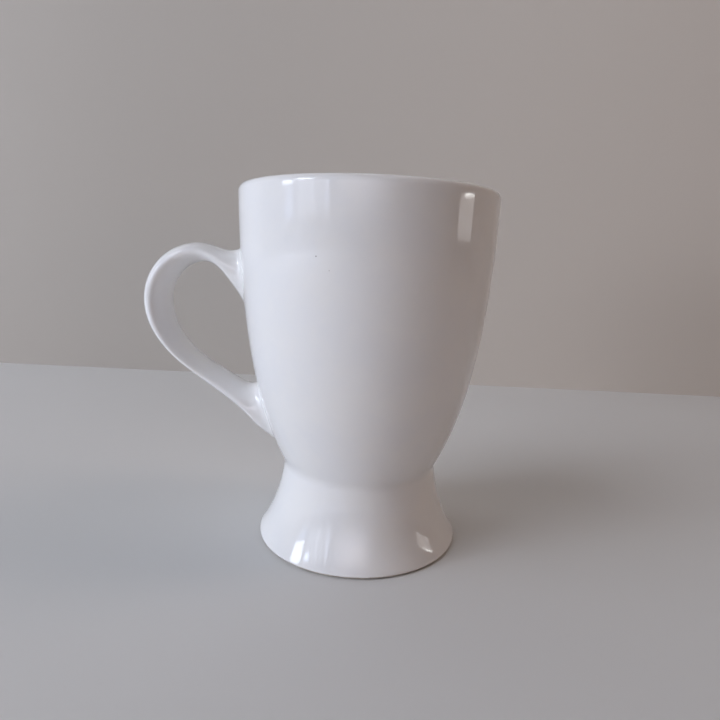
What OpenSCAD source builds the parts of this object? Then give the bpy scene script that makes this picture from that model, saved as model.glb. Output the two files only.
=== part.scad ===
// Footed ceramic mug: a cup on a flared hollow foot, with an ear-shaped strap handle.
// The mug stands on z = 0, its axis is the Z axis, and the handle points along -X.

/* [Body] */
// Height from the table to the lip
height = 115; // [105:1:125]
// Diameter across the rim
rim_d = 82; // [76:1:88]
// Diameter of the waist between cup and foot
waist_d = 51.4; // [48:0.2:54]
// Height of the waist above the table
waist_z = 26; // [24:0.5:27]
// Diameter of the foot where it is widest
foot_d = 68; // [64:1:72]
// Thickness of the cup's wall
wall_t = 4.2; // [3.8:0.1:5]
// Thickness of the cup's floor
floor_t = 6.5; // [6:0.5:8]
// Thickness of the foot's wall
foot_wall = 4.8; // [4:0.1:5.5]
// Radius of the rounded edge under the foot
foot_edge_r = 0.85; // [0.7:0.05:1]

/* [Handle] */
// How far the handle stands out from the rim's radius
handle_reach = 32.1; // [28:0.1:36]
// Height of the top of the handle
handle_top = 97.2; // [94:0.2:99]
// Height where the handle's tail ends on the cup
handle_tail = 29.4; // [28.6:0.2:31]
// Width of the strap
strap_w = 17.5; // [14:0.5:18]
// Width of the strap where it meets the joints
root_w = 19; // [17:0.2:20]
// Width of the joints on the cup
toe_w = 23; // [21:0.2:24]

/* [Clay, slip and glaze] */
// Thickness of the coat of glaze
glaze_t = 0.35; // [0.3:0.05:0.45]
// Thickness of the slip in the joints
slip_t = 0.6; // [0.5:0.1:0.8]

/* [Hidden] */

rim_r = rim_d / 2;
waist_r = waist_d / 2;
foot_r = foot_d / 2;
// Gap left between a faceted face and the face it lies against
gap = 0.03;
// Height at which the glaze inside the foot is wiped off
inner_glaze_line = foot_edge_r + 0.4;
$fn = 96;

// ---- curves -----------------------------------------------------------------------------

function lerp(a, b, t) = a + (b - a) * t;
function smooth(t) = t * t * (3 - 2 * t);
function unit(v) = v / norm(v);
function reverse(p) = [for (i = [len(p) - 1:-1:0]) p[i]];
function part_of(p, first, last) = [for (i = [first:last]) p[i]];
function bezier(p, t) =
    pow(1 - t, 3) * p[0] + 3 * t * pow(1 - t, 2) * p[1] + 3 * t * t * (1 - t) * p[2] + t * t * t * p[3];
function arc(centre, r, from, to, steps) =
    [for (i = [0:steps]) centre + r * [cos(lerp(from, to, i / steps)), sin(lerp(from, to, i / steps))]];

// A path moved to its left by d
function left_of(p, d) = [for (i = [0:len(p) - 1])
    let (along = unit(p[min(i + 1, len(p) - 1)] - p[max(i - 1, 0)]))
    p[i] + d * [-along[1], along[0]]];

// ---- outline of the body, as [radius, height] -------------------------------------------

lip_r = (wall_t + 0.2) / 2;
lip_centre = [rim_r - lip_r, height - lip_r];
floor_z = waist_z + floor_t;

// Outside of the foot's rounded edge: the glaze ends below its widest point, the flare starts above it
edge_centre = [foot_r - foot_edge_r - glaze_t, foot_edge_r];
edge_skin_r = foot_edge_r + glaze_t;
wipe_angle = -8;
flare_tilt = 34;
flare_start = edge_centre + edge_skin_r * [cos(flare_tilt), sin(flare_tilt)];
foot_curve = [flare_start, flare_start + 7.3 * [-sin(flare_tilt), cos(flare_tilt)],
              [waist_r + 1.05, waist_z * 0.62], [waist_r, waist_z]];
bowl_curve = [[waist_r, waist_z], [waist_r + 10.5, waist_z + 20],
              [rim_r - 0.4, height * 0.645], [rim_r, lip_centre[1]]];

edge_steps = 5;
foot_steps = 14;
bowl_steps = 26;
lip_steps = 8;
wall_steps = 20;
floor_steps = 10;
// Share of the cup's curve at which its inside turns into the floor
floor_share = 0.2;

edge_side = part_of(arc(edge_centre, edge_skin_r, wipe_angle, flare_tilt, edge_steps), 0, edge_steps - 1);
foot_side = [for (i = [0:foot_steps - 1]) bezier(foot_curve, i / foot_steps)];
bowl_side = [for (i = [0:bowl_steps - 1]) bezier(bowl_curve, i / bowl_steps)];
lip_out = arc(lip_centre, lip_r, 0, 90, lip_steps);
lip_in = part_of(arc(lip_centre, lip_r, 90, 180, lip_steps), 1, lip_steps);
inner_wall = left_of([for (i = [wall_steps:-1:0])
    bezier(bowl_curve, lerp(floor_share, 1, i / wall_steps))], -wall_t);
wall_end = inner_wall[wall_steps];
wall_fall = unit(wall_end - inner_wall[wall_steps - 1]);
floor_curve = [wall_end, wall_end + 5 * wall_fall, [wall_end[0] * 0.62, floor_z], [0, floor_z]];
cavity = concat(part_of(inner_wall, 1, wall_steps),
                [for (i = [1:floor_steps]) bezier(floor_curve, i / floor_steps)]);

// The finished surface from the wiped line on the foot, over the lip, to the middle of the floor
skin = concat(edge_side, foot_side, bowl_side, lip_out, lip_in, cavity);
lip_top = edge_steps + foot_steps + bowl_steps + lip_steps;
// The clay under it
clay = concat(part_of(left_of(skin, glaze_t), 0, len(skin) - 2), [[0, floor_z - glaze_t]]);

bowl_base_z = waist_z + slip_t / 2;
foot_top_z = waist_z - slip_t / 2;
clay_side = part_of(clay, 0, lip_top);
clay_by_height = [for (p = clay_side) [p[1], p[0]]];
function clay_r_at(z) = lookup(z, clay_by_height);

// Inside of the foot
foot_clay_side = [for (p = clay_side) if (p[1] < foot_top_z - 0.5) p];
flare_clay = [for (p = foot_clay_side) if (p[1] > flare_start[1]) p];
foot_inner_side = left_of(flare_clay, foot_wall - 2 * glaze_t);
foot_inner_by_height = [for (p = foot_inner_side) [p[1], p[0]]];
foot_inner = concat([[lookup(inner_glaze_line, foot_inner_by_height), inner_glaze_line]],
                    [for (p = foot_inner_side)
                        if (p[1] > inner_glaze_line + 0.5 && p[1] < foot_top_z - 1) p]);
foot_top_inner_r = waist_r - foot_wall;

// ---- body pieces ------------------------------------------------------------------------

module bowl() {
    outside = [for (i = [0:len(clay) - 1]) if (clay[i][1] > bowl_base_z + 0.3) clay[i]];
    color("white") rotate_extrude()
        polygon(concat([[0, bowl_base_z], [clay_r_at(bowl_base_z), bowl_base_z]], outside));
}

module pedestal_foot() {
    inside = foot_inner[0];
    edge = arc(edge_centre, foot_edge_r, -90, wipe_angle - 12, 5);
    inner_edge = arc([inside[0] + foot_edge_r, foot_edge_r], foot_edge_r, 180, 270, 5);
    color("ghostwhite") rotate_extrude()
        polygon(concat(edge, foot_clay_side, [[clay_r_at(foot_top_z), foot_top_z]],
                       [[foot_top_inner_r, foot_top_z]], reverse(foot_inner), inner_edge));
}

module waist_slip_joint() {
    color("gainsboro") rotate_extrude()
        polygon([[foot_top_inner_r, foot_top_z], [clay_r_at(foot_top_z), foot_top_z],
                 [clay_r_at(waist_z), waist_z], [clay_r_at(bowl_base_z), bowl_base_z],
                 [foot_top_inner_r, bowl_base_z]]);
}

// ---- handle -----------------------------------------------------------------------------

// Knots of the strap's two edges: [share of the reach, share of the height, heading]
outer_knots = [[0.125, 0.969, 2], [0.453, 1, -2.5], [1, 0.715, -91], [0.492, 0.365, -144],
               [-0.203, 0.102, -128]];
inner_knots = [[0.13, 0.836, 57.5], [0.402, 0.909, -4], [0.774, 0.708, -90], [0.283, 0.383, -154],
               [-0.019, 0.315, -168]];
// Where the joints lie on the cup, as shares of the height: [outer edge's end, inner edge's end]
upper_toe = [1.011, 0.655];
lower_toe = [0, 0.351];

sides = 24;
// Roundness of the strap's section: 2 is an ellipse, more is squarer
squareness = 2;
steps_between_knots = [6, 9, 9, 7];
root_steps = 6;
pad_rings = 4;
widths = [root_w, strap_w, strap_w, strap_w, root_w] / 2;

function handle_z(share) = lerp(handle_tail, handle_top, share);
function heading(a) = [cos(a), sin(a)];
function turn(a, b) = abs((b - a + 540) % 360 - 180);
function knot_curve(k, n) =
    let (p = [rim_r + k[0] * handle_reach, handle_z(k[1])],
         q = [rim_r + n[0] * handle_reach, handle_z(n[1])],
         arm = norm(q - p) * 2 / (3 * (1 + cos(turn(k[2], n[2]) / 2))))
    [p, p + arm * heading(k[2]), q - arm * heading(n[2]), q];
outer_edge = [for (i = [0:3]) knot_curve(outer_knots[i], outer_knots[i + 1])];
inner_edge = [for (i = [0:3]) knot_curve(inner_knots[i], inner_knots[i + 1])];
function on_edge(edge, u) = let (i = min(floor(u), 3)) bezier(edge[i], u - i);
function half_width(u) = let (i = min(floor(u), 3)) lerp(widths[i], widths[i + 1], smooth(u - i));
function squared(c) = sign(c) * pow(abs(c), 2 / squareness);

// A point on the strap: u runs from 0 at the upper root to 4 at the lower, a goes round it
function strap(u, a, level) =
    let (o = on_edge(outer_edge, u), i = on_edge(inner_edge, u),
         middle = (o + i) / 2, half = (o - i) / 2,
         p = middle + unit(half) * (norm(half) + level) * squared(cos(a)))
    [-p[0], (half_width(u) + level) * squared(sin(a)), p[1]];

// Radius of the cup's finished surface at a height
function cup_share(z, lo = 0, hi = 1, n = 20) =
    n == 0 ? (lo + hi) / 2
    : bezier(bowl_curve, (lo + hi) / 2)[1] < z ? cup_share(z, (lo + hi) / 2, hi, n - 1)
    : cup_share(z, lo, (lo + hi) / 2, n - 1);
function cup_r(z) = bezier(bowl_curve, cup_share(z))[0];
function on_cup(y, z, level) = let (r = cup_r(z) + level) [-sqrt(r * r - y * y), y, z];

// A root is [middle height, half height towards the outer edge, u at the strap's end, u just past it]
function root(toe, u, next) =
    [handle_z((toe[0] + toe[1]) / 2), (handle_z(toe[0]) - handle_z(toe[1])) / 2, u, next];
upper = root(upper_toe, 0, 0.02);
lower = root(lower_toe, 4, 3.98);

function toe_y(a, k) = k * toe_w / 2 * sin(a);
function toe_z(r, a, k) = r[0] + k * r[1] * cos(a);

// The curve from the joint's toe on the cup to the strap's end, tangent to both
function flare(r, a, level) =
    let (t0 = on_cup(toe_y(a, 1), toe_z(r, a, 1), level),
         inward = unit(on_cup(toe_y(a, 0.99), toe_z(r, a, 0.99), level) - t0),
         q = strap(r[2], a, level),
         outward = unit(strap(r[3], a, level) - q),
         arm = norm(q - t0) * 2 / (3 * (1 + cos(acos(inward * outward) / 2))))
    [t0, t0 + arm * inward, q - arm * outward, q];
function height_off(p, level) = norm([p[0], p[1]]) - cup_r(p[2]) - level;
// Share of a flare at which it stands d off the cup
function share_at(curve, level, d, lo = 0, hi = 1, n = 14) =
    n == 0 ? (lo + hi) / 2
    : height_off(bezier(curve, (lo + hi) / 2), level) < d
        ? share_at(curve, level, d, (lo + hi) / 2, hi, n - 1)
        : share_at(curve, level, d, lo, (lo + hi) / 2, n - 1);

angles = [for (i = [0:sides - 1]) 360 * i / sides];
function root_rings(r, level, off) =
    let (curves = [for (a = angles) flare(r, a, level)],
         starts = [for (c = curves) off > 0 ? share_at(c, level, off) : 0])
    [for (k = [0:root_steps - 1])
        [for (i = [0:sides - 1]) bezier(curves[i], lerp(starts[i], 1, k / root_steps))]];
strap_stations = [for (i = [0:3]) for (k = [0:steps_between_knots[i] - 1])
    i + k / steps_between_knots[i]];
function strap_rings(level) =
    [for (u = concat(strap_stations, [4])) [for (a = angles) strap(u, a, level)]];
function whole_handle(level, off) =
    concat(root_rings(upper, level, off), strap_rings(level), reverse(root_rings(lower, level, off)));

// Rings that close in on the middle of a root, over the cup, from a ring that lies on it
function pad(r, ring, level) =
    [for (k = [pad_rings - 1:-1:1]) [for (p = ring)
        on_cup(p[1] * k / pad_rings, lerp(r[0], p[2], k / pad_rings), level)]];
function pad_middle(r, level) = on_cup(0, r[0], level);

// A solid with a point at each end and rings between
module lofted(start, rings, end) {
    n = sides;
    last = len(rings) * n + 1;
    points = concat([start], [for (ring = rings) for (p = ring) p], [end]);
    first_fan = [for (i = [0:n - 1]) [0, 1 + i, 1 + (i + 1) % n]];
    walls = [for (k = [0:len(rings) - 2]) for (i = [0:n - 1])
        let (a = 1 + k * n + i, b = 1 + k * n + (i + 1) % n)
        each [[a, a + n, b], [b, a + n, b + n]]];
    last_fan = [for (i = [0:n - 1]) [last, last - n + (i + 1) % n, last - n + i]];
    polyhedron(points, concat(first_fan, walls, last_fan), convexity = 6);
}

// A sleeve whose rings close on themselves
module ringed(rings) {
    n = sides;
    m = len(rings);
    faces = [for (k = [0:m - 1]) for (i = [0:n - 1])
        let (a = k * n + i, b = k * n + (i + 1) % n,
             c = ((k + 1) % m) * n + i, d = ((k + 1) % m) * n + (i + 1) % n)
        each [[a, c, b], [b, c, d]]];
    polyhedron([for (ring = rings) for (p = ring) p], faces, convexity = 6);
}

module handle() {
    rings = whole_handle(-glaze_t, slip_t);
    top_pad = pad(upper, rings[0], slip_t - glaze_t);
    tail_pad = pad(lower, rings[len(rings) - 1], slip_t - glaze_t);
    color("white")
        lofted(pad_middle(upper, slip_t - glaze_t), concat(reverse(top_pad), rings, tail_pad),
               pad_middle(lower, slip_t - glaze_t));
}

// Rings of the pad and bead of slip under one end of the handle, from the cup outwards
module handle_joint(r, from_cup) {
    under = gap - glaze_t;
    over = slip_t - gap - glaze_t;
    curves = [for (a = angles) flare(r, a, under)];
    tops = [for (c = curves) share_at(c, -glaze_t, slip_t - gap)];
    bead = [for (k = [0:4]) [for (i = [0:sides - 1]) bezier(curves[i], tops[i] * k / 4)]];
    rings = concat(reverse(pad(r, bead[0], under)), bead, pad(r, bead[4], over));
    if (from_cup)
        lofted(pad_middle(r, under), rings, pad_middle(r, over));
    else
        lofted(pad_middle(r, over), reverse(rings), pad_middle(r, under));
}

module upper_handle_joint() {
    color("gainsboro") handle_joint(upper, true);
}

module lower_handle_joint() {
    color("gainsboro") handle_joint(lower, false);
}

// ---- glaze ------------------------------------------------------------------------------

// What is left bare of glaze on the cup, under a joint
module bare_patch(r) {
    outline = [for (a = angles) [toe_y(a, 1), toe_z(r, a, 1)]];
    rotate([90, 0, -90]) linear_extrude(rim_r + 5) polygon(outline);
}

module liner_glaze() {
    last = len(skin) - 1;
    color("white") rotate_extrude()
        polygon(concat(part_of(skin, lip_top, last), reverse(part_of(clay, lip_top, last))));
}

module outer_glaze() {
    color("white") {
        difference() {
            rotate_extrude()
                polygon(concat(part_of(skin, 0, lip_top), reverse(part_of(clay, 0, lip_top))));
            bare_patch(upper);
            bare_patch(lower);
        }
        ringed(concat(whole_handle(0, 0), reverse(whole_handle(gap - glaze_t, 0))));
    }
}

module underside_glaze() {
    wall = foot_inner;
    face = left_of(wall, glaze_t);
    ceiling_z = bowl_base_z - glaze_t;
    corner_r = 3;
    corner_x = foot_top_inner_r - glaze_t - corner_r;
    corner = arc([corner_x, ceiling_z - corner_r], corner_r, 0, 90, 6);
    color("white") rotate_extrude()
        polygon(concat(wall, [[foot_top_inner_r, foot_top_z], [foot_top_inner_r, bowl_base_z]],
                       [[0, bowl_base_z], [0, ceiling_z]], reverse(corner),
                       reverse([for (p = face) if (p[1] < ceiling_z - corner_r - 0.5) p])));
}

bowl();
pedestal_foot();
waist_slip_joint();
handle();
upper_handle_joint();
lower_handle_joint();
liner_glaze();
outer_glaze();
underside_glaze();
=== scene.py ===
import math

import bmesh
import bpy
import numpy as np
from mathutils import Matrix, Vector


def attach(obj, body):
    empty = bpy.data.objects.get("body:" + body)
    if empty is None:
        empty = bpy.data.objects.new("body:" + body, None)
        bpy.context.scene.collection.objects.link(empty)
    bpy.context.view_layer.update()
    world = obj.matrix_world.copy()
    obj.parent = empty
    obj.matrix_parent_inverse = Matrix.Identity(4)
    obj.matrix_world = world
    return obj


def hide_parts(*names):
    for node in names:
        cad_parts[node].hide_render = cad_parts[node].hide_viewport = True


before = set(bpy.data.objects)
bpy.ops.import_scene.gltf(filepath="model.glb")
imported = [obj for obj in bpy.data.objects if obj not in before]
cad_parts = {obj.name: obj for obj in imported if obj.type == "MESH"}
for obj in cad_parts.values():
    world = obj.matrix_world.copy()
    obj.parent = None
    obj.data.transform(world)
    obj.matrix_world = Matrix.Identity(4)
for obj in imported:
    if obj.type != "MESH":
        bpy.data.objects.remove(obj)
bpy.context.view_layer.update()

# ---- driving dimensions of the CAD part, in millimetres and degrees -------------------------
MM = 0.001
HEIGHT = 115.0
RIM_R = 41.0
WAIST_R = 25.7
WAIST_Z = 26.0
FOOT_R = 34.0
WALL_T = 4.2
FLOOR_T = 6.5
FOOT_WALL = 4.8
FOOT_EDGE_R = 0.85
HANDLE_REACH = 32.1
HANDLE_TOP = 97.2
HANDLE_TAIL = 29.4
STRAP_W = 17.5
ROOT_W = 19.0
TOE_W = 23.0
GLAZE_T = 0.35
INNER_GLAZE_LINE = FOOT_EDGE_R + 0.4
WIPE_ANGLE = -8
FLARE_TILT = 34
SLIP_T = 0.6
SQUARENESS = 2.0
FLOOR_SHARE = 0.2
# The knots of the handle's two edges: share of its reach, share of its height, heading
OUTER_KNOTS = ((0.125, 0.969, 2), (0.453, 1, -2.5), (1, 0.715, -91), (0.492, 0.365, -144),
               (-0.203, 0.102, -128))
INNER_KNOTS = ((0.13, 0.836, 57.5), (0.402, 0.909, -4), (0.774, 0.708, -90), (0.283, 0.383, -154),
               (-0.019, 0.315, -168))
# Top and bottom of the roots on the cup, as shares of the handle's height
UPPER_TOE = (1.011, 0.655)
LOWER_TOE = (0, 0.351)

# ---- how the finished coats are meshed ------------------------------------------------------
AROUND = 216          # columns round the body
WINDOW_COLS = 32      # columns of the opening left round a handle root
WINDOW_ROWS = 24
WINDOW_MARGIN = 2.4
WINDOW_RINGS = 6      # rings between that opening and the root's toe
FLARE_RINGS = 16
STRAP_RINGS = (18, 32, 34, 22)
COAT_T = 0.27         # thickness of a coat, which leaves it clear of the clay 0.35 mm down
WAVE_LEAST = 0.02     # the finished face lies between these depths under the CAD face
WAVE_MOST = 0.06
PATH_STEP = 0.02      # spacing of the points along a dense outline
CREASE_REACH = 90     # steps either side of the waist that are meshed finely
POLE_GAP = 60         # steps left between the last ring of the liner and the axis
CEILING_GAP = 80      # the same under the foot
BARE_LINE = 2.2       # height under which the foot's clay is meshed finely
GRAIN = 0.012         # depth of the grain on the bare clay

# ---- control points of the outlines, as in the CAD part -------------------------------------
FLARE_ARM = 7.3
FOOT_PULL = (1.05, 0.62)          # beyond the waist's radius, and as a share of its height
BOWL_PULL = (10.5, 20)            # out and up from the waist
SIDE_PULL = (0.4, 0.645)          # inside the rim's radius, and as a share of the mug's height
CORNER_PULL = (5, 0.62)           # down along the wall, and as a share of its last radius
LIP_SWELL = 0.2                   # extra thickness of the wall at the lip
LIP_SWELL_RUN = 18                # and the height over which it comes in

LIP_R = (WALL_T + LIP_SWELL) / 2
LIP_Z = HEIGHT - LIP_R
FLOOR_Z = WAIST_Z + FLOOR_T


def lerp(a, b, t):
    return a + (b - a) * t


def smooth(t):
    t = np.clip(t, 0, 1)
    return t * t * (3 - 2 * t)


def unit(v):
    return v / np.linalg.norm(v, axis=-1, keepdims=True)


def bezier(p, t):
    t = np.asarray(t, float)[..., None]
    return ((1 - t) ** 3 * p[0] + 3 * t * (1 - t) ** 2 * p[1] + 3 * t * t * (1 - t) * p[2]
            + t ** 3 * p[3])


# ---- outlines of the body, as dense lists of [radius, height] -------------------------------
def left_normals(p):
    """Unit normals to the left of a dense path."""
    along = unit(np.gradient(p, axis=0))
    return np.stack([-along[:, 1], along[:, 0]], 1)


def arc(centre, r, start, end, n):
    a = np.radians(np.linspace(start, end, n))
    return np.array(centre) + r * np.stack([np.cos(a), np.sin(a)], 1)


def even(p):
    """The path again, with its points evenly spaced."""
    s = np.concatenate([[0], np.cumsum(np.linalg.norm(np.diff(p, axis=0), axis=1))])
    t = np.linspace(0, s[-1], int(s[-1] / PATH_STEP) + 1)
    return np.stack([np.interp(t, s, p[:, k]) for k in range(2)], 1)


def soften(p, half, near=None, reach=4.0):
    """Rounds the corners of an evenly spaced path, all along it or only around one point."""
    n = int(half / PATH_STEP)
    kernel = np.ones(2 * n + 1) / (2 * n + 1)
    out = p.copy()
    for k in range(2):
        before = 2 * p[0, k] - p[n:0:-1, k]
        after = 2 * p[-1, k] - p[-2:-n - 2:-1, k]
        padded = np.concatenate([before, p[:, k], after])
        out[:, k] = np.convolve(padded, kernel, "valid")
    if near is None:
        return out
    w = 1 - smooth((np.linalg.norm(p - near, axis=1) - half) / (reach - half))
    return p + (out - p) * w[:, None]


EDGE_CENTRE = np.array([FOOT_R - FOOT_EDGE_R - GLAZE_T, FOOT_EDGE_R])
EDGE_SKIN_R = FOOT_EDGE_R + GLAZE_T
UP_FLARE = np.array([-math.sin(math.radians(FLARE_TILT)), math.cos(math.radians(FLARE_TILT))])
FLARE_START = EDGE_CENTRE + EDGE_SKIN_R * np.array([UP_FLARE[1], -UP_FLARE[0]])
FOOT_CURVE = np.array([FLARE_START, FLARE_START + FLARE_ARM * UP_FLARE,
                       [WAIST_R + FOOT_PULL[0], WAIST_Z * FOOT_PULL[1]], [WAIST_R, WAIST_Z]])
BOWL_CURVE = np.array([[WAIST_R, WAIST_Z], [WAIST_R + BOWL_PULL[0], WAIST_Z + BOWL_PULL[1]],
                       [RIM_R - SIDE_PULL[0], HEIGHT * SIDE_PULL[1]], [RIM_R, LIP_Z]])
FINE = np.linspace(0, 1, 3000)

foot_side = bezier(FOOT_CURVE, FINE)
bowl_side = bezier(BOWL_CURVE, FINE)
outside = even(np.concatenate([arc(EDGE_CENTRE, EDGE_SKIN_R, WIPE_ANGLE, FLARE_TILT, 200),
                               foot_side[1:], bowl_side[1:],
                               arc((RIM_R - LIP_R, LIP_Z), LIP_R, 0, 90, 400)[1:]]))
outside = soften(outside, 1.7, near=np.array([WAIST_R, WAIST_Z]), reach=5.0)

shares = lerp(1, FLOOR_SHARE, FINE)
wall = bezier(BOWL_CURVE, shares)
depth = WALL_T + LIP_SWELL * (1 - smooth((LIP_Z - wall[:, 1]) / LIP_SWELL_RUN))
wall = wall - left_normals(wall) * depth[:, None]
fall = unit(wall[-1] - wall[-20])
floor_curve = np.array([wall[-1], wall[-1] + CORNER_PULL[0] * fall,
                        [wall[-1][0] * CORNER_PULL[1], FLOOR_Z], [0, FLOOR_Z]])
inside = even(np.concatenate([arc((RIM_R - LIP_R, LIP_Z), LIP_R, 90, 180, 400), wall[1:],
                              bezier(floor_curve, FINE)[1:]]))

GLAZE_END = outside[0, 1]

# The cup's side alone, as radius and slope by height
side = outside[outside[:, 1] > WAIST_Z + 0.5]
side = side[side[:, 0] < RIM_R + 1][: np.argmax(side[:, 1] > LIP_Z - 0.01)]
side_slope = np.gradient(side[:, 0], side[:, 1])


def cup_r(z):
    return np.interp(z, side[:, 1], side[:, 0])


def on_cup(theta, z):
    """Points of the cup's face; theta is measured at the axis from the handle's side."""
    r = cup_r(z)
    return np.stack([-r * np.cos(theta), r * np.sin(theta), z], -1)


def cup_normal(theta, z):
    slope = np.interp(z, side[:, 1], side_slope)
    return unit(np.stack([-np.cos(theta), np.sin(theta), -slope], -1))


# ---- the handle -----------------------------------------------------------------------------
def handle_z(share):
    return lerp(HANDLE_TAIL, HANDLE_TOP, share)


def edge_curves(knots):
    curves = []
    for (x0, z0, h0), (x1, z1, h1) in zip(knots, knots[1:]):
        p = np.array([RIM_R + x0 * HANDLE_REACH, handle_z(z0)])
        q = np.array([RIM_R + x1 * HANDLE_REACH, handle_z(z1)])
        turned = abs((h1 - h0 + 540) % 360 - 180)
        arm = np.linalg.norm(q - p) * 2 / (3 * (1 + math.cos(math.radians(turned) / 2)))
        h0, h1 = math.radians(h0), math.radians(h1)
        curves.append(np.array([p, p + arm * np.array([math.cos(h0), math.sin(h0)]),
                                q - arm * np.array([math.cos(h1), math.sin(h1)]), q]))
    return curves


OUTER_EDGE = edge_curves(OUTER_KNOTS)
INNER_EDGE = edge_curves(INNER_KNOTS)
HALF_WIDTHS = [ROOT_W / 2, STRAP_W / 2, STRAP_W / 2, STRAP_W / 2, ROOT_W / 2]


def squared(c):
    return np.sign(c) * np.abs(c) ** (2 / SQUARENESS)


def strap(u, a):
    """Points round the strap: u is one number from 0 to 4, a an array of angles."""
    i = min(int(u), 3)
    o, n = bezier(OUTER_EDGE[i], u - i), bezier(INNER_EDGE[i], u - i)
    p = (o + n) / 2 + (o - n) / 2 * squared(np.cos(a))[:, None]
    w = lerp(HALF_WIDTHS[i], HALF_WIDTHS[i + 1], smooth(u - i))
    return np.stack([-p[:, 0], w * squared(np.sin(a)), p[:, 1]], 1)


class Root:
    """Where one end of the handle spreads on to the cup."""

    def __init__(self, toe, u_end, u_next):
        self.mid = handle_z((toe[0] + toe[1]) / 2)
        self.half = (handle_z(toe[0]) - handle_z(toe[1])) / 2
        self.u_end, self.u_next = u_end, u_next
        self.lo = self.mid - abs(self.half) - WINDOW_MARGIN
        self.hi = self.mid + abs(self.half) + WINDOW_MARGIN

    def toe(self, a, k=1.0):
        """(theta, z) on the cup, at a share k of the way from the root's middle to its edge."""
        z = self.mid + k * self.half * np.cos(a)
        return np.arcsin(k * TOE_W / 2 * np.sin(a) / cup_r(z)), z

    def flare(self, a, t):
        """Points of the curves from the toe to the strap's end, at one share t."""
        start = on_cup(*self.toe(a))
        inward = unit(on_cup(*self.toe(a, 0.99)) - start)
        end = strap(self.u_end, a)
        outward = unit(strap(self.u_next, a) - end)
        cosine = np.clip((inward * outward).sum(1), -1, 1)
        arm = np.linalg.norm(end - start, axis=1) * 2 / (3 * (1 + np.cos(np.arccos(cosine) / 2)))
        arm = arm[:, None]
        return bezier([start, start + arm * inward, end - arm * outward, end], np.full(len(a), t))


UPPER = Root(UPPER_TOE, 0, 0.02)
LOWER = Root(LOWER_TOE, 4, 3.98)


# ---- slow unevenness of a cast and glazed face ----------------------------------------------
WAVES = [((0.115, 0.052, 0.091), 0.4, 0.30), ((-0.071, 0.137, 0.048), 1.9, 0.26),
         ((0.043, -0.088, 0.172), 3.1, 0.24), ((0.196, 0.118, -0.064), 5.0, 0.20)]


def wavy(points, normals):
    """The points sunk by a slow smooth wave of a few hundredths of a millimetre, and their normals."""
    height = np.zeros(len(points))
    gradient = np.zeros((len(points), 3))
    for k, phase, share in WAVES:
        k = np.array(k)
        angle = points @ k + phase
        height += share * np.sin(angle)
        gradient += share * np.cos(angle)[:, None] * k
    half = (WAVE_MOST - WAVE_LEAST) / 2
    depth = WAVE_LEAST + half * (1 - height)
    slope = half * gradient
    slope -= (slope * normals).sum(1)[:, None] * normals
    return points - normals * depth[:, None], unit(normals - slope)


# ---- building closed coats ------------------------------------------------------------------
class Sheet:
    """Points with their normals, quads and triangles of one open face, to be thickened."""

    def __init__(self):
        self.points, self.normals, self.faces = [], [], []
        self.count = 0

    def add(self, points, normals):
        first = self.count
        self.points.append(points)
        self.normals.append(normals)
        self.count += len(points)
        return np.arange(first, self.count)

    def band(self, a, b, closed=True):
        """Quads between two rows of point numbers."""
        n = len(a)
        for i in range(n if closed else n - 1):
            j = (i + 1) % n
            self.faces.append((int(a[i]), int(a[j]), int(b[j]), int(b[i])))

    def fan(self, ring, middle):
        n = len(ring)
        for i in range(n):
            self.faces.append((int(ring[i]), int(ring[(i + 1) % n]), int(middle)))


def thicken(sheet, rims, t):
    """A closed shell: the sheet, the same sheet t lower down, and a strip along each rim.
    A rim is (ring of point numbers, whether its edge is rounded)."""
    p, n = wavy(np.concatenate(sheet.points), np.concatenate(sheet.normals))
    count = len(p)
    points, normals = [p, p - n * t], [n, -n]
    faces = list(sheet.faces) + [tuple(i + count for i in reversed(f)) for f in sheet.faces]
    total = 2 * count
    for ring, rounded in rims:
        rows = [ring]
        if rounded is not None:
            outward = unit(p[ring] - p[rounded])
            for angle in np.radians((22.5, 45, 67.5, 90, 112.5, 135, 157.5)):
                direction = n[ring] * math.cos(angle) + outward * math.sin(angle)
                points.append(p[ring] - n[ring] * t / 2 + direction * t / 2)
                normals.append(direction)
                rows.append(np.arange(total, total + len(ring)))
                total += len(ring)
        rows.append(ring + count)
        for a, b in zip(rows, rows[1:]):
            for i in range(len(ring)):
                j = (i + 1) % len(ring)
                faces.append((int(a[i]), int(a[j]), int(b[j]), int(b[i])))
    return np.concatenate(points), np.concatenate(normals), faces


def mesh_object(name, points, normals, faces):
    """A closed smooth mesh with the given normals and its faces turned outwards."""
    mesh = bpy.data.meshes.new(name)
    mesh.from_pydata((points * MM).tolist(), [], faces)
    shell = bmesh.new()
    shell.from_mesh(mesh)
    bmesh.ops.recalc_face_normals(shell, faces=shell.faces)
    shell.to_mesh(mesh)
    shell.free()
    mesh.shade_smooth()
    mesh.normals_split_custom_set_from_vertices(normals.tolist())
    piece = bpy.data.objects.new(name, mesh)
    bpy.context.scene.collection.objects.link(piece)
    return piece


def revolve_rows(sheet, path, rows, columns):
    """Rings of points where a dense path is at the given indexes. Returns the rings."""
    normal = -left_normals(path)
    rings = []
    for k in rows:
        c, s = np.cos(columns), np.sin(columns)
        points = np.stack([-path[k, 0] * c, path[k, 0] * s, np.full(len(c), path[k, 1])], 1)
        normals = np.stack([-normal[k, 0] * c, normal[k, 0] * s, np.full(len(c), normal[k, 1])], 1)
        rings.append(sheet.add(points, normals))
    return rings


def rows_every(path, first, last, step):
    """Indexes along a dense path, about step millimetres apart."""
    n = max(1, round((last - first) * PATH_STEP / step))
    return [round(lerp(first, last, i / n)) for i in range(n)]


def index_at(path, z):
    return int(np.argmax(path[:, 1] >= z))


COLUMNS = np.arange(AROUND) * 2 * math.pi / AROUND


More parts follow.
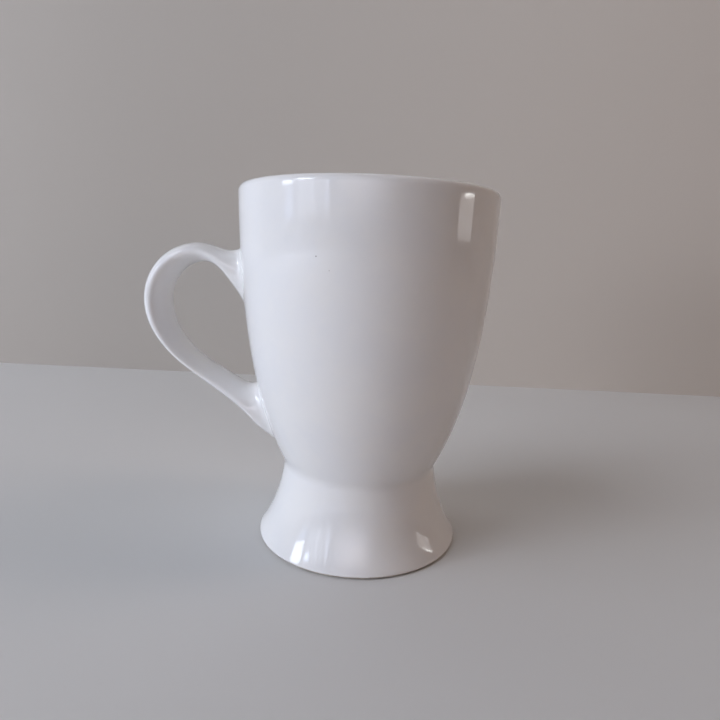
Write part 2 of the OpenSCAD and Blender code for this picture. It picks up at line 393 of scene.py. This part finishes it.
def outward_normals(points, middle, turning, along):
    """Unit normals from the two directions of a face, turned away from its middle."""
    normals = unit(np.cross(turning, along))
    return normals * np.sign(((points - middle) * normals).sum(1).mean())


def outer_coat():
    """The glaze outside: foot, cup and handle in one skin, from the wiped line to the lip's top."""
    sheet = Sheet()
    waist = index_at(outside, WAIST_Z)
    rim = index_at(outside, LIP_Z)
    start = math.ceil(COAT_T / 2 / PATH_STEP)
    flare = index_at(outside, FLARE_START[1] + 0.3)
    rows = rows_every(outside, start, flare, 0.12)
    rows += rows_every(outside, flare, waist - CREASE_REACH, 1.0)
    rows += rows_every(outside, waist - CREASE_REACH, index_at(outside, LOWER.lo), 0.3)
    windows = []
    for root, gap in ((LOWER, UPPER.lo), (UPPER, LIP_Z)):
        lo, hi = index_at(outside, root.lo), index_at(outside, root.hi)
        windows.append((root, len(rows), len(rows) + WINDOW_ROWS))
        rows += [round(lerp(lo, hi, i / WINDOW_ROWS)) for i in range(WINDOW_ROWS)]
        rows += rows_every(outside, hi, index_at(outside, gap), 1.2)
    rows += rows_every(outside, rim, len(outside) - 1, 0.25) + [len(outside) - 1]

    side_cols = WINDOW_COLS // 2
    rings = revolve_rows(sheet, outside, rows, COLUMNS)
    for k in range(len(rings) - 1):
        window = any(first <= k < last for _, first, last in windows)
        for j in range(AROUND):
            if window and (j < side_cols or j >= AROUND - side_cols):
                continue
            m = (j + 1) % AROUND
            corners = (rings[k][j], rings[k][m], rings[k + 1][m], rings[k + 1][j])
            sheet.faces.append(tuple(int(v) for v in corners))

    ends = []
    for root, first, last in windows:
        columns = list(range(-side_cols, side_cols + 1))
        # The loop round the opening starts on the side of the strap's outer edge and runs to +Y
        near, far = (last, first) if root.half > 0 else (first, last)
        step = -1 if near > far else 1
        loop = [(near, j) for j in range(0, side_cols)]
        loop += [(k, side_cols) for k in range(near, far, step)]
        loop += [(far, j) for j in range(side_cols, -side_cols, -1)]
        loop += [(k, -side_cols) for k in range(far, near, -step)]
        loop += [(near, j) for j in range(-side_cols, 0)]
        ring = np.array([rings[k][j % AROUND] for k, j in loop])
        z = np.array([outside[rows[k], 1] for k, j in loop])
        theta = np.array([j * 2 * math.pi / AROUND for k, j in loop])
        a = np.arctan2(theta * cup_r(root.mid) / (TOE_W / 2), (z - root.mid) / root.half)
        a = np.unwrap(a)
        toe_theta, toe_z = root.toe(a)
        previous = ring
        for i in range(1, WINDOW_RINGS + 1):
            th, zz = lerp(theta, toe_theta, i / WINDOW_RINGS), lerp(z, toe_z, i / WINDOW_RINGS)
            new = sheet.add(on_cup(th, zz), cup_normal(th, zz))
            sheet.band(previous, new)
            previous = new
        for i in range(1, FLARE_RINGS):
            t = i / FLARE_RINGS
            ahead, behind = root.flare(a, t + 1e-3), root.flare(a, t - 1e-3)
            turning = root.flare(a + 1e-4, t) - root.flare(a - 1e-4, t)
            points = root.flare(a, t)
            new = sheet.add(points, outward_normals(points, points.mean(0), turning, ahead - behind))
            sheet.band(previous, new)
            previous = new
        ends.append((a, previous))

    (a_low, low_ring), (a_up, up_ring) = ends
    stations = [i + k / n for i, n in enumerate(STRAP_RINGS) for k in range(n)] + [4.0]
    previous = up_ring
    for u in stations:
        a = lerp(a_up, a_low, float(smooth(u / 4)))
        lo, hi = max(u - 1e-3, 0), min(u + 1e-3, 4)
        turning = strap(u, a + 1e-4) - strap(u, a - 1e-4)
        middle = strap(u, np.array([0, math.pi])).mean(0)
        points = strap(u, a)
        new = sheet.add(points, outward_normals(points, middle, turning, strap(hi, a) - strap(lo, a)))
        sheet.band(previous, new)
        previous = new
    sheet.band(previous, low_ring)
    return thicken(sheet, [(rings[0], rings[1]), (rings[-1], None)], COAT_T)


def turned_coat(path, rows, round_start):
    """A coat turned round the axis from a dense path and closed at the axis."""
    sheet = Sheet()
    rings = revolve_rows(sheet, path, rows, COLUMNS)
    for a, b in zip(rings, rings[1:]):
        sheet.band(a, b)
    top = -left_normals(path)[-1]
    middle = sheet.add(np.array([[0, 0, path[-1, 1]]]), np.array([[0, 0, np.sign(top[1])]]))
    sheet.fan(rings[-1], middle[0])
    rim = rings[1] if round_start else None
    return thicken(sheet, [(rings[0], rim)], COAT_T)


def liner_coat():
    lip_end = int(np.argmax(inside[:, 1] < LIP_Z))
    bend = int(np.argmax(inside[:, 1] < FLOOR_Z + 14))
    rows = rows_every(inside, 0, lip_end, 0.25) + rows_every(inside, lip_end, bend, 1.4)
    last = len(inside) - POLE_GAP
    rows += rows_every(inside, bend, last, 0.9) + [last]
    return turned_coat(inside, rows, False)


def underside_path():
    """The finished face under the foot, from the wiped line to the axis."""
    inward = left_normals(foot_side) * FOOT_WALL
    wall_face = foot_side + inward
    corner_r = 3
    ceiling = WAIST_Z + SLIP_T / 2 - GLAZE_T
    corner_x = WAIST_R - FOOT_WALL - GLAZE_T - corner_r
    z = wall_face[:, 1]
    wall_face = wall_face[(z > INNER_GLAZE_LINE + COAT_T / 2) & (z < ceiling - corner_r - 0.5)]
    path = np.concatenate([wall_face, arc((corner_x, ceiling - corner_r), corner_r, 0, 90, 200),
                           [[0, ceiling]]])
    return soften(even(path), 0.8)


def underside_coat():
    path = underside_path()
    bend = index_at(path, WAIST_Z - 6)
    rows = rows_every(path, 0, 40, 0.3) + rows_every(path, 40, bend, 1.2)
    turned, last = bend + 500, len(path) - CEILING_GAP
    rows += rows_every(path, bend, turned, 0.35) + rows_every(path, turned, last, 1.5) + [last]
    return turned_coat(path, rows, True)


def foot_clay():
    """The clay of the foot as a ring, with its rounded bare edge."""
    skin_in = left_normals(foot_side)
    outer = foot_side + skin_in * GLAZE_T
    inner = foot_side + skin_in * (FOOT_WALL - GLAZE_T)
    top = WAIST_Z - SLIP_T / 2
    outer = outer[outer[:, 1] < top - 0.3]
    inner = inner[(inner[:, 1] > INNER_GLAZE_LINE) & (inner[:, 1] < top - 1)]
    e = FOOT_EDGE_R
    path = np.concatenate([
        arc(EDGE_CENTRE, e, -90, FLARE_TILT, 120), outer[1:], [[outer[-1, 0], top]],
        [[WAIST_R - FOOT_WALL, top]], inner[::-1],
        arc((inner[0, 0] + e, e), e, 180, 270, 60)])
    path = even(np.concatenate([path, path[:1]]))[:-1]
    ends = np.concatenate([path[-1:], path, path[:1]])
    rows, k = [], 0
    while k < len(path):
        rows.append(k)
        k += 14 if path[k, 1] < BARE_LINE else 60
    sheet = Sheet()
    normal = -left_normals(ends)[1:-1]
    rings = []
    for k in rows:
        c, s = np.cos(COLUMNS), np.sin(COLUMNS)
        r, z = path[k]
        bare = 1 - smooth((z - 1.2) / 1.0)
        ripple = (np.sin(COLUMNS * 37 + r * 5) + np.sin(COLUMNS * 61 - r * 9 + z * 4)
                  + np.sin(COLUMNS * 101 + r * 3)) / 3
        depth = GRAIN * bare * (1 + ripple) if z > 1e-6 else np.zeros(AROUND)
        rr, zz = r - normal[k, 0] * depth, z - normal[k, 1] * depth
        rings.append(sheet.add(np.stack([-rr * c, rr * s, zz + 0 * c], 1),
                               np.stack([-normal[k, 0] * c, normal[k, 0] * s, normal[k, 1] + 0 * c], 1)))
    for a, b in zip(rings, rings[1:] + rings[:1]):
        sheet.band(a, b)
    return np.concatenate(sheet.points), np.concatenate(sheet.normals), sheet.faces


# ---- materials ------------------------------------------------------------------------------
class Nodes:
    """A small helper that adds nodes to a new material and links them."""

    def __init__(self, name):
        self.material = bpy.data.materials.new(name)
        self.material.use_nodes = True
        self.tree = self.material.node_tree
        self.tree.nodes.clear()
        self.out = self.tree.nodes.new("ShaderNodeOutputMaterial")
        self.shader = self.tree.nodes.new("ShaderNodeBsdfPrincipled")
        self.link(self.shader.outputs[0], self.out.inputs[0])
        self.place = self.tree.nodes.new("ShaderNodeTexCoord").outputs["Object"]

    def link(self, a, b):
        self.tree.links.new(a, b)

    def _set(self, socket, value):
        if isinstance(value, bpy.types.NodeSocket):
            self.link(value, socket)
        else:
            socket.default_value = value

    def noise(self, scale, detail, rough=0.5):
        n = self.tree.nodes.new("ShaderNodeTexNoise")
        self.link(self.place, n.inputs["Vector"])
        n.inputs["Scale"].default_value = scale
        n.inputs["Detail"].default_value = detail
        n.inputs["Roughness"].default_value = rough
        return n.outputs["Fac"]

    def voronoi(self, scale):
        n = self.tree.nodes.new("ShaderNodeTexVoronoi")
        self.link(self.place, n.inputs["Vector"])
        n.inputs["Scale"].default_value = scale
        return n.outputs["Distance"], n.outputs["Color"]

    def math(self, kind, a, b=0.0):
        n = self.tree.nodes.new("ShaderNodeMath")
        n.operation = kind
        for socket, value in zip(n.inputs, (a, b)):
            self._set(socket, value)
        return n.outputs[0]

    def axis(self, which):
        n = self.tree.nodes.new("ShaderNodeSeparateXYZ")
        self.link(self.place, n.inputs[0])
        return n.outputs[which]

    def span(self, value, lo, hi, out_lo=0.0, out_hi=1.0):
        n = self.tree.nodes.new("ShaderNodeMapRange")
        n.interpolation_type = "SMOOTHSTEP"
        for socket, v in zip(n.inputs, (value, lo, hi, out_lo, out_hi)):
            self._set(socket, v)
        return n.outputs[0]

    def mix(self, factor, a, b):
        n = self.tree.nodes.new("ShaderNodeMix")
        n.data_type = "RGBA"
        for socket, v in zip((n.inputs[0], n.inputs[6], n.inputs[7]), (factor, a, b)):
            self._set(socket, v if isinstance(v, (float, bpy.types.NodeSocket)) else (*v, 1.0))
        return n.outputs[2]

    def bump(self, height, distance, below=None):
        n = self.tree.nodes.new("ShaderNodeBump")
        n.inputs["Distance"].default_value = distance
        self.link(height, n.inputs["Height"])
        if below is not None:
            self.link(below, n.inputs["Normal"])
        return n.outputs[0]


def tinted(colour, shares):
    return tuple(min(1, c * share) for c, share in zip(colour, shares))


def scaled(colour, share):
    return tuple(min(1, c * share) for c in colour)


def glaze_material(name, white, waist_colour, speck_scale):
    """Glossy white glaze: slow blotches of tone, a slightly darker, greyer band at the waist, a slightly
    lighter, warmer tint at the lip's top, rare specks and pinholes, and brown where it ends above the
    bare ring."""
    m = Nodes(name)
    z = m.axis(2)
    tone = m.mix(m.noise(26, 3.0), scaled(white, 0.97), white)
    cloud = m.mix(m.span(m.noise(75, 4.0, 0.6), 0.35, 0.7), tone, tinted(white, (1.012, 1.004, 0.985)))
    # A slightly darker, greyer band centred on the waist crease.
    from_waist = m.math("ABSOLUTE", m.math("SUBTRACT", z, WAIST_Z * MM))
    waist_band = m.span(from_waist, 0.0002, 0.0024, 0.2, 0.0)
    base = m.mix(waist_band, cloud, waist_colour)
    # A slightly lighter, warmer tint over the top 1.6 mm, at the lip.
    lip = m.span(z, (HEIGHT - 1.6) * MM, HEIGHT * MM, 0.0, 0.35)
    base = m.mix(lip, base, tinted(white, (1.02, 1.01, 0.98)))
    edge = m.span(m.math("ADD", z, m.math("MULTIPLY", m.noise(420, 3.0), 0.0007)),
                  (GLAZE_END + 0.25) * MM, (GLAZE_END + 0.65) * MM, 0.5, 0.0)
    base = m.mix(edge, base, (0.33, 0.25, 0.19))
    distance, colour = m.voronoi(speck_scale)
    few = m.math("GREATER_THAN", colour, 0.5)
    speck = m.math("MULTIPLY", m.span(distance, 0.012, 0.026, 0.75, 0.0), few)
    base = m.mix(speck, base, (0.12, 0.09, 0.07))
    m.link(base, m.shader.inputs["Base Color"])
    m.link(m.span(m.noise(140, 3.0, 0.6), 0.3, 0.75, 0.045, 0.10), m.shader.inputs["Roughness"])
    m.shader.inputs["IOR"].default_value = 1.5
    peel = m.bump(m.noise(330, 1.5, 0.4), 0.000012)
    slow = m.bump(m.noise(48, 1.0, 0.3), 0.00010, peel)
    pit_distance, pit_colour = m.voronoi(170)
    pit = m.math("MULTIPLY", m.span(pit_distance, 0.03, 0.06, -1.0, 0.0),
                 m.math("GREATER_THAN", pit_colour, 0.55))
    m.link(m.bump(pit, 0.00003, slow), m.shader.inputs["Normal"])
    return m.material


def clay_material(name, colour, grain, low_brown=0.0):
    """Bare fired clay: matt, grainy, with darker grog and, on the foot ring, brown patches strongest
    towards the bottom.
    """
    m = Nodes(name)
    tone = m.mix(m.noise(120, 4.0, 0.6), scaled(colour, 0.9), colour)
    grog = m.span(m.noise(1900, 2.0), 0.66, 0.74, 0.0, 0.55)
    base = m.mix(grog, tone, (0.30, 0.23, 0.17))
    if low_brown:
        # Brown patches, strongest towards the bottom of the foot ring.
        low = m.span(m.axis(2), 0.0006, 0.0018, 1.0, 0.35)
        patch = m.span(m.noise(260, 5.0, 0.7), 0.42, 0.68)
        low_brown_share = m.math("MULTIPLY", m.math("MULTIPLY", low, patch), low_brown)
        base = m.mix(low_brown_share, base, (0.27, 0.18, 0.11))
    m.link(base, m.shader.inputs["Base Color"])
    m.link(m.span(m.noise(500, 3.0), 0.3, 0.7, 0.7, 0.9), m.shader.inputs["Roughness"])
    m.link(m.bump(m.noise(grain, 4.0, 0.65), 0.00006), m.shader.inputs["Normal"])
    return m.material


def stage_material(name, colour, roughness, left=1.0, right=1.0):
    """A plain surface with faint blotches. Its colour is scaled by left and right towards those sides,
    painting light and shade across it.
    """
    m = Nodes(name)
    blotches = m.noise(9, 3.0)
    side_light_and_shade = [m.mix(blotches, scaled(colour, share * 0.985), scaled(colour, share * 1.01))
             for share in (left, right)]
    m.link(m.mix(m.span(m.axis(0), -0.22, 0.22), *side_light_and_shade), m.shader.inputs["Base Color"])
    m.shader.inputs["Roughness"].default_value = roughness
    return m.material


WHITE = (0.80, 0.80, 0.805)
glaze = glaze_material("white_glaze", WHITE, (0.70, 0.69, 0.67), 110)
liner = glaze_material("white_liner_glaze", scaled(WHITE, 0.99), (0.72, 0.71, 0.69), 130)
clay = clay_material("bare_clay", (0.74, 0.70, 0.63), 1400)
ring_clay = clay_material("bare_foot_clay", (0.66, 0.60, 0.51), 1100, low_brown=0.9)
slip = clay_material("fired_slip", (0.72, 0.69, 0.63), 2200)


def dress(thing, material):
    thing.data.materials.clear()
    thing.data.materials.append(material)


# ---- pieces ---------------------------------------------------------------------------------
def piece(name, built, node, slot, material):
    made = mesh_object(name, *built)
    dress(made, material)
    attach(made, "root")
    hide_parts(node)


piece("outer_glaze_coat", outer_coat(), "outer_glaze", "glaze", glaze)
piece("liner_glaze_coat", liner_coat(), "liner_glaze", "glaze", liner)
piece("underside_glaze_coat", underside_coat(), "underside_glaze", "glaze", liner)
piece("foot_with_bare_ring", foot_clay(), "pedestal_foot", "clay", ring_clay)
for node in ("bowl", "handle"):
    dress(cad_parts[node], clay)
for node in ("waist_slip_joint", "upper_handle_joint", "lower_handle_joint"):
    dress(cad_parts[node], slip)


# ---- stage ----------------------------------------------------------------------------------
def quad(name, corners, material):
    mesh = bpy.data.meshes.new(name)
    mesh.from_pydata(corners, [], [(0, 1, 2, 3)])
    mesh.materials.append(material)
    thing = bpy.data.objects.new(name, mesh)
    bpy.context.scene.collection.objects.link(thing)


WALL_Y = 0.235
STAGE_HALF = 1.6
quad("floor", [(-STAGE_HALF, -STAGE_HALF, 0), (STAGE_HALF, -STAGE_HALF, 0), (STAGE_HALF, WALL_Y, 0),
               (-STAGE_HALF, WALL_Y, 0)],
     stage_material("pale_floor", (0.66, 0.66, 0.655), 0.7))
# The backdrop's colour is painted darker to the left and lighter to the right: painted shade and painted
# light.
quad("backdrop", [(-STAGE_HALF, WALL_Y, 0), (STAGE_HALF, WALL_Y, 0), (STAGE_HALF, WALL_Y, STAGE_HALF),
                  (-STAGE_HALF, WALL_Y, STAGE_HALF)],
     stage_material("pale_backdrop", (0.54, 0.495, 0.445), 0.8, left=0.80, right=1.16))


MUG_MIDDLE = Vector((0, 0, 0.06))


def fade_edges(light, share):
    """Lets a box's brightness fall off smoothly over a share of its width and height at each edge."""
    light.use_nodes = True
    tree = light.node_tree
    emission = tree.nodes["Emission"]
    across = tree.nodes.new("ShaderNodeNewGeometry").outputs["Parametric"]
    split = tree.nodes.new("ShaderNodeSeparateXYZ")
    tree.links.new(across, split.inputs[0])
    strength = None
    for k in range(2):
        from_middle = tree.nodes.new("ShaderNodeMath")
        from_middle.operation = "SUBTRACT"
        tree.links.new(split.outputs[k], from_middle.inputs[0])
        from_middle.inputs[1].default_value = 0.5
        size = tree.nodes.new("ShaderNodeMath")
        size.operation = "ABSOLUTE"
        tree.links.new(from_middle.outputs[0], size.inputs[0])
        fall = tree.nodes.new("ShaderNodeMapRange")
        fall.interpolation_type = "SMOOTHSTEP"
        tree.links.new(size.outputs[0], fall.inputs["Value"])
        fall.inputs["From Min"].default_value = 0.5 - share
        fall.inputs["From Max"].default_value = 0.5
        fall.inputs["To Min"].default_value = 1.0
        fall.inputs["To Max"].default_value = 0.0
        if strength is None:
            strength = fall.outputs[0]
        else:
            both = tree.nodes.new("ShaderNodeMath")
            both.operation = "MULTIPLY"
            tree.links.new(strength, both.inputs[0])
            tree.links.new(fall.outputs[0], both.inputs[1])
            strength = both.outputs[0]
    tree.links.new(strength, emission.inputs["Strength"])


def area(name, azimuth, height, distance, width, tall, power, colour, fade=0.0,
         glossy=True, diffuse=True):
    """A soft box aimed at the mug's middle. Azimuth 0 is the camera's side, and it grows towards +X.
    The height is that of the box's middle above the table, and the distance is along the table."""
    az = math.radians(azimuth)
    light = bpy.data.lights.new(name, "AREA")
    light.shape = "RECTANGLE"
    light.size, light.size_y = width, tall
    light.energy = power
    light.color = colour
    if fade:
        fade_edges(light, fade)
    thing = bpy.data.objects.new(name, light)
    thing.location = Vector((math.sin(az) * distance, -math.cos(az) * distance, height))
    thing.rotation_mode = "QUATERNION"
    thing.rotation_quaternion = (thing.location - MUG_MIDDLE).to_track_quat("Z", "Y")
    thing.visible_camera = False
    thing.visible_glossy = glossy
    thing.visible_diffuse = diffuse
    bpy.context.scene.collection.objects.link(thing)


# The window and what shows beside it in the glaze, from the left of the picture to its middle
area("window", -67.5, 0.39, 1.22, 0.26, 0.30, 2.6, (0.80, 0.89, 1.0))
area("window_top", -58.5, 0.80, 1.0, 0.34, 0.36, 5.0, (0.85, 0.92, 1.0), fade=0.15, diffuse=False)
area("window_sill", -66, 0.17, 1.22, 0.26, 0.14, 0.24, (0.55, 0.68, 1.0), fade=0.3, diffuse=False)
area("window_band", -55, 0.47, 1.22, 0.16, 0.17, 0.9, (0.60, 0.72, 1.0), fade=0.3, diffuse=False)
area("bright_wall", -44.75, 0.36, 1.22, 0.67, 0.51, 1.85, (0.80, 0.87, 1.0), fade=0.12)
area("wall_bar", -45, 0.33, 1.22, 0.10, 0.46, 0.24, (0.80, 0.84, 1.0), fade=0.3, diffuse=False)
area("wall_edge", -32, 0.34, 1.22, 0.10, 0.48, 0.46, (0.66, 0.74, 1.0), fade=0.25, diffuse=False)
area("room", -3, 0.45, 1.3, 1.45, 0.86, 12.5, (0.90, 0.88, 1.0), fade=0.45, diffuse=False)
area("ceiling", -22, 1.25, 0.9, 0.9, 0.6, 3.0, (0.80, 0.88, 1.0), fade=0.3, diffuse=False)
# The lit strip at the far right, brighter at its top
area("right_strip", 88.5, 0.156, 1.22, 0.38, 0.165, 0.40, (1.0, 0.97, 0.95), fade=0.06, diffuse=False)
area("right_strip_top", 91, 0.23, 1.22, 0.30, 0.03, 0.24, (1.0, 1.0, 0.98), fade=0.2, diffuse=False)
# Soft light that the glaze does not mirror
area("left_front", -55, 0.18, 1.2, 0.5, 0.34, 3.0, (0.97, 0.96, 1.0), glossy=False)
area("left_low", -65, 0.18, 1.2, 0.8, 0.34, 3.1, (0.62, 0.74, 1.0), glossy=False)
area("left_high", -65, 1.0, 0.9, 0.8, 0.7, 5.1, (0.88, 0.905, 1.0), glossy=False)
area("right_high", 110, 1.0, 0.9, 0.8, 0.7, 6.0, (1.0, 0.81, 0.72), glossy=False)
area("front_fill", 26, 0.12, 1.2, 0.8, 0.22, 1.1, (1.0, 0.58, 0.35), glossy=False)
# Light that comes back from the wall behind the mug
area("wall_glow", 180, 0.60, 0.21, 0.7, 0.12, 0.35, (0.95, 0.98, 1.0), glossy=False)

world = bpy.data.worlds.new("studio")
world.use_nodes = True
background = world.node_tree.nodes["Background"]
background.inputs["Color"].default_value = (0.45, 0.44, 0.44, 1)
background.inputs["Strength"].default_value = 0.02
bpy.context.scene.world = world

# ---- camera ---------------------------------------------------------------------------------
CAMERA_AT = Vector((0.00633, -0.18119, 0.0946))
YAW, PITCH, ROLL = (math.radians(v) for v in (2.34, 10.74, 2.19))
camera_data = bpy.data.cameras.new("camera")
camera_data.sensor_width = 36
camera_data.lens = 27.31
camera_data.clip_start, camera_data.clip_end = 0.01, 20
camera = bpy.data.objects.new("camera", camera_data)
forward = Vector((-math.sin(YAW) * math.cos(PITCH), math.cos(YAW) * math.cos(PITCH), -math.sin(PITCH)))
right = forward.cross(Vector((0, 0, 1))).normalized()
up = right.cross(forward)
tilted_right = right * math.cos(ROLL) + up * math.sin(ROLL)
tilted_up = up * math.cos(ROLL) - right * math.sin(ROLL)
camera.matrix_world = Matrix((
    (tilted_right.x, tilted_up.x, -forward.x, CAMERA_AT.x),
    (tilted_right.y, tilted_up.y, -forward.y, CAMERA_AT.y),
    (tilted_right.z, tilted_up.z, -forward.z, CAMERA_AT.z), (0, 0, 0, 1)))
bpy.context.scene.collection.objects.link(camera)
bpy.context.scene.camera = camera
bpy.context.scene.view_settings.view_transform = "Standard"
